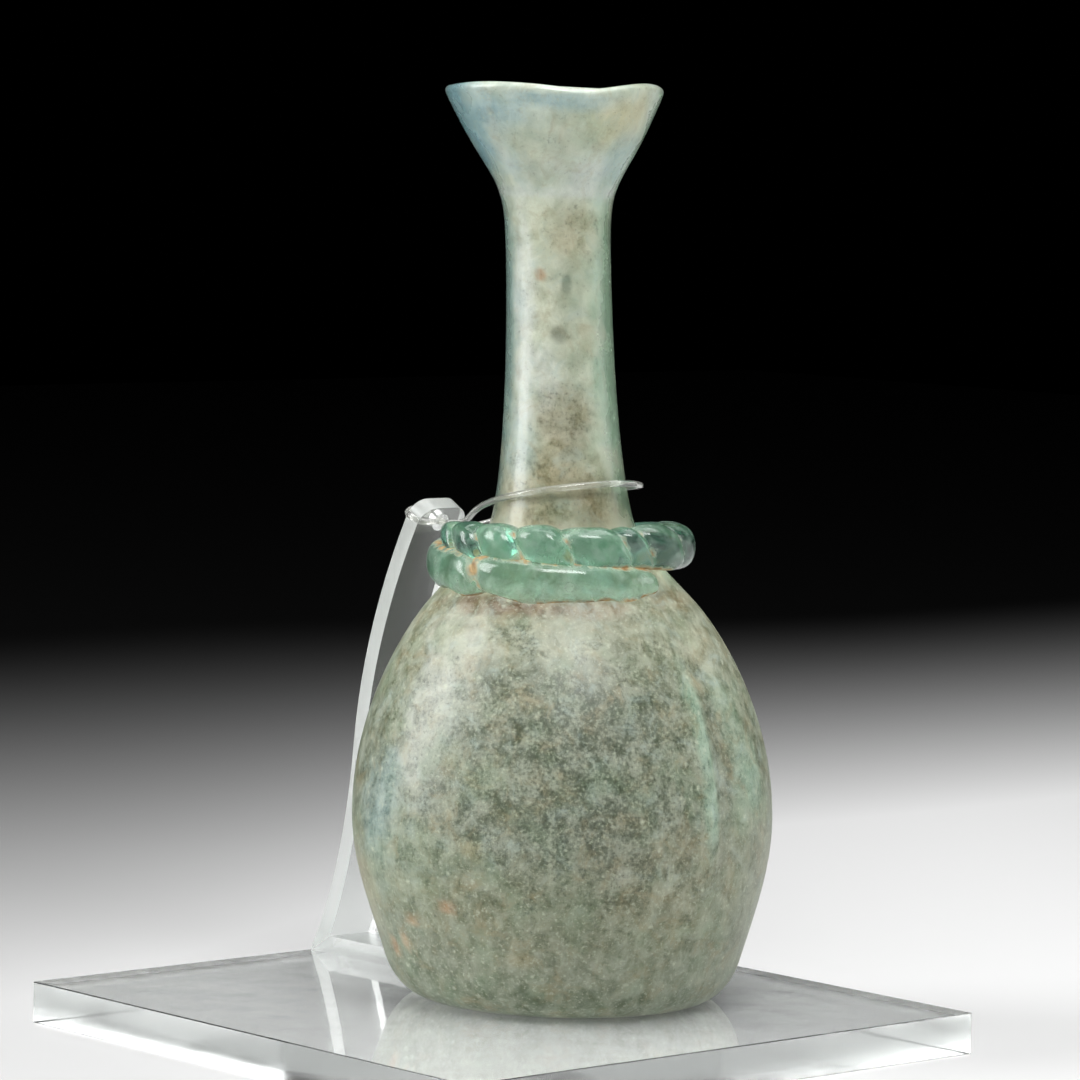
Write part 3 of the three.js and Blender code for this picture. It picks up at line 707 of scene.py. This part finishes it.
# Clear green glass: barely weathered, so it keeps its fire polish and deepens to sea green where
# it is thick. A pale film dulls it in places, and tan and rusty earth is lodged in its hollows.
clear_green, tree, surface = new_material("fire_polished_green_glass")
place = add(tree, "ShaderNodeTexCoord", {})
spot = add(tree, "ShaderNodeMapping", {
    "Vector": place.outputs["Object"], "Scale": (1 / MM,) * 3, "Location": tuple(-FLASK_AT / MM)})
cloud = add(tree, "ShaderNodeTexNoise", {
    "Vector": spot.outputs["Vector"], "Scale": 1 / 3.5, "Detail": 5, "Roughness": 0.65})
crumb = add(tree, "ShaderNodeTexNoise", {
    "Vector": spot.outputs["Vector"], "Scale": 1 / 0.9, "Detail": 3, "Roughness": 0.6})
filmed = spread(tree, cloud.outputs["Fac"], 0.44, 0.66, 0, 0.5)
glass = blend(tree, filmed, colour("#aed2c2"), colour("#b8c8b2"))
rusty = spread(tree, crumb.outputs["Fac"], 0.38, 0.62)
soil = blend(tree, rusty, colour("#7d5f3c"), colour("#b59b6e"))
lodged = add(tree, "ShaderNodeAttribute", {}, attribute_name="earth")
crumbly = reckon(tree, "MULTIPLY_ADD", crumb.outputs["Fac"], 0.7, lodged.outputs["Fac"])
soiled = spread(tree, crumbly, 0.5, 1.15)
tone = blend(tree, soiled, glass, soil)
tree.links.new(tone, surface.inputs["Base Color"])
dull = reckon(tree, "MULTIPLY_ADD", filmed, 0.7, soiled)
through = spread(tree, dull, 0, 1, 0.93, 0.05)
tree.links.new(through, surface.inputs["Transmission Weight"])
polish = spread(tree, dull, 0, 1, 0.12, 0.6)
tree.links.new(polish, surface.inputs["Roughness"])
surface.inputs["IOR"].default_value = 1.52
sea_depth = add(tree, "ShaderNodeVolumeAbsorption", {"Color": colour("#86c2b2"), "Density": 200})
tree.links.new(sea_depth.outputs["Volume"], tree.nodes["Material Output"].inputs["Volume"])

trail.data.materials.append(clear_green)
trail.visible_shadow = False
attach(trail, "root")
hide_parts("collar_trail")

# Neck tie: one length of clear nylon line, laid round the neck and drawn to the strip, where one
# end goes through the hole, the other round the edge, and both are knotted behind.

TIE_RADIUS = 0.5 * MM
TIE_SPREAD = 0.6
KNOT_FROM = -2.3
KNOT_WRAP = 0.85
KNOT_PITCH = 2.2
KNOT_QUARTERS = 2
KNOT_TAILS = [(2.0, -3.9, -1.3), (-1.9, -3.7, -2.6)]
ROUND_EDGE = [
    # beside, in front of and above the hole's middle, in millimetres
    (-3.8, -2.05, 0.2), (-5.4, -0.2, 0.5), (-4.3, 1.95, 0.7), (-1.2, 2.05, 0.7), (1, 2.6, 0.6),
]
TIE_LOOP = [
    # direction in degrees, distance from the neck's middle and height on the flask
    (-112, 11.2, 75.9),
    (-78, 11, 77.4),
    (-44, 10.9, 78.6),
    (-10, 10.9, 79.2),
    (22, 11.2, 79.1),
    (46, 11.9, 78.6),
    (72, 11.6, 78),
    (110, 11.3, 76.9),
]


def in_hole(beside, outwards, lifted=0):
    """A place near the hole's middle, measured in millimetres in the strip's own directions."""
    return hole_at + MM * (Vector((0, beside, 0)) + outwards * drill_axis + lifted * leaning(TOP_LEAN))


# Behind the strip the two ends are wrapped round each other and cut off short.
wraps = []
for start, tail in zip((math.pi, 0), KNOT_TAILS):
    wrap = []
    for quarter in range(KNOT_QUARTERS + 1):
        turned = start + quarter * math.pi / 2
        wrap.append(in_hole(
            KNOT_WRAP * math.cos(turned),
            KNOT_FROM - quarter * KNOT_PITCH / 4,
            KNOT_WRAP * math.sin(turned)))
    wraps.append([*wrap, in_hole(*tail)])
# One strand comes round the strip's edge and lies across its face, the other goes through the hole.
route = [*reversed(wraps[0]), *[in_hole(*step) for step in ROUND_EDGE]]
for direction, distance, tie_height in TIE_LOOP:
    lean_x, lean_y = lean_at(tie_height)
    turned = math.radians(direction)
    route.append(FLASK_AT + MM * Vector((
        lean_x + distance * math.cos(turned), lean_y + distance * math.sin(turned), tie_height)))
route += [in_hole(TIE_SPREAD, 2.8), in_hole(TIE_SPREAD, 0), *wraps[1]]
bpy.ops.object.select_all(action="DESELECT")
bpy.ops.curve.primitive_bezier_curve_add()
tie = bpy.context.object
tie.name = "nylon_tie"
line = tie.data.splines[0]
line.bezier_points.add(len(route) - 2)
for knot, point in zip(line.bezier_points, route):
    knot.co = point
    knot.handle_left_type = knot.handle_right_type = "AUTO"
tie.data.resolution_u = 8
tie.data.bevel_depth = TIE_RADIUS
tie.data.bevel_resolution = 3
tie.data.use_fill_caps = True
bpy.ops.object.convert(target="MESH")
tie = bpy.context.object
bpy.ops.object.transform_apply()
bpy.ops.object.mode_set(mode="EDIT")
bpy.ops.mesh.select_all(action="SELECT")
bpy.ops.mesh.remove_doubles(threshold=0.005 * MM)
bpy.ops.mesh.normals_make_consistent(inside=False)
bpy.ops.object.mode_set(mode="OBJECT")
bpy.ops.object.shade_smooth()

# Nylon line: clear and smooth, without any colour of its own.
nylon, tree, surface = new_material("clear_nylon_line")
surface.inputs["Base Color"].default_value = colour("#f2f3ee")
surface.inputs["Roughness"].default_value = 0.1
surface.inputs["IOR"].default_value = 1.53
surface.inputs["Transmission Weight"].default_value = 0.88
tie.data.materials.append(nylon)
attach(tie, "root")
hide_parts("neck_tie")

# Table, light and camera: a pale table top whose colour is painted falling off into the dark behind,
# as painted shade, soft boxes on both sides and above, and a long lens at the height of the flask's mouth.

# The camera's place and angles follow from the plate's corners in the photo.
CAMERA_AT = Vector((582.19, -515.02, 140.95)) * MM
CAMERA_TURN = math.radians(48.179)
CAMERA_TILT = math.radians(-4.741)
CAMERA_ROLL = math.radians(1.367)
LENS = 171.57
SIDEWAYS = Vector((0.6626, 0.7490, 0))
AWAY = Vector((-0.7490, 0.6626, 0))
FADE_ASLANT = 0.95
FADE_REACH = 0.72
LIT_SIDE_FROM = -0.1
LIT_SIDE_TO = 0.11
LIT_SIDE_GAIN = 0.72
LIT_SIDE_DELAY = -0.15
DIM_SIDE_GAIN = 1.07
FADE_POWER = 2.0
TABLE_GREY = 0.62
AIM = Vector((0, 0, 0.07))

bpy.ops.object.select_all(action="DESELECT")
bpy.ops.mesh.primitive_plane_add(size=3, location=(0, 0, -0.3 * MM))
table = bpy.context.object
table.name = "table"
bpy.ops.object.transform_apply()
top, tree, surface = new_material("pale_table_painted_falloff")
place = add(tree, "ShaderNodeTexCoord", {})
# The table's colour is painted darker towards the back and the left, later and quicker on the right:
# painted shade where the studio light falls off, and painted light on the brighter right.
fade_along = AWAY - FADE_ASLANT * SIDEWAYS
reach = add(tree, "ShaderNodeVectorMath", {
    0: place.outputs["Object"], 1: tuple(fade_along)}, operation="DOT_PRODUCT")
near = spread(tree, reach.outputs["Value"], 0, FADE_REACH, 1, 0)
across_table = add(tree, "ShaderNodeVectorMath", {
    0: place.outputs["Object"], 1: tuple(SIDEWAYS)}, operation="DOT_PRODUCT")
lit_side = spread(
    tree, across_table.outputs["Value"], LIT_SIDE_FROM, LIT_SIDE_TO, interpolation_type="SMOOTHSTEP")
gain = reckon(tree, "MULTIPLY_ADD", lit_side, LIT_SIDE_GAIN, DIM_SIDE_GAIN)
later = reckon(tree, "MULTIPLY_ADD", lit_side, LIT_SIDE_DELAY, near)
steeper = reckon(tree, "MULTIPLY", later, gain)
steeper = reckon(tree, "MAXIMUM", steeper, 0.0)
brightest = spread(tree, lit_side, 0.55, 1, 0.94, 1.05)
steeper = reckon(tree, "MINIMUM", steeper, brightest)
painted_falloff = reckon(tree, "POWER", steeper, FADE_POWER)
shade = reckon(tree, "MULTIPLY", painted_falloff, TABLE_GREY)
tree.links.new(shade, surface.inputs["Base Color"])
surface.inputs["Roughness"].default_value = 0.7
surface.inputs["Specular IOR Level"].default_value = 0.1
table.data.materials.append(top)

LIGHTS = [
    # name, place along sideways, away and up, width, height, watts
    ("soft_box_left", (-0.8, -0.12, 0.4), 0.4, 0.7, 7.2),
    ("soft_box_right", (0.8, 0.05, 0.18), 0.4, 0.3, 2),
    ("soft_box_front", (0.1, -0.5, 0.75), 0.5, 0.3, 6.2),
    ("soft_box_above", (0.1, 0.1, 0.95), 0.8, 0.8, 6.5),
]
for name, (sideways, away, lift), width, tall, watts in LIGHTS:
    box = bpy.data.lights.new(name, "AREA")
    box.shape = "RECTANGLE"
    box.size = width
    box.size_y = tall
    box.energy = watts
    lamp = bpy.data.objects.new(name, box)
    lamp.visible_camera = False
    # The right-hand box only lifts the shaded side, so the glass does not mirror it.
    lamp.visible_glossy = name != "soft_box_right"
    bpy.context.scene.collection.objects.link(lamp)
    lamp.location = SIDEWAYS * sideways + AWAY * away + Vector((0, 0, lift))
    lamp.rotation_mode = "QUATERNION"
    lamp.rotation_quaternion = (AIM - lamp.location).to_track_quat("-Z", "Y")

world = bpy.data.worlds.new("dark_studio")
world.use_nodes = True
world.node_tree.nodes["Background"].inputs["Color"].default_value = colour("#000000")
bpy.context.scene.world = world
bpy.context.scene.view_settings.view_transform = "Standard"

lens = bpy.data.cameras.new("long_lens")
lens.lens = LENS
lens.sensor_width = 36
lens.clip_start = 0.01
camera = bpy.data.objects.new("camera", lens)
bpy.context.scene.collection.objects.link(camera)
camera.matrix_world = (
    Matrix.Translation(CAMERA_AT) @ Matrix.Rotation(CAMERA_TURN, 4, "Z")
    @ Matrix.Rotation(math.pi / 2 + CAMERA_TILT, 4, "X") @ Matrix.Rotation(CAMERA_ROLL, 4, "Z"))
bpy.context.scene.camera = camera
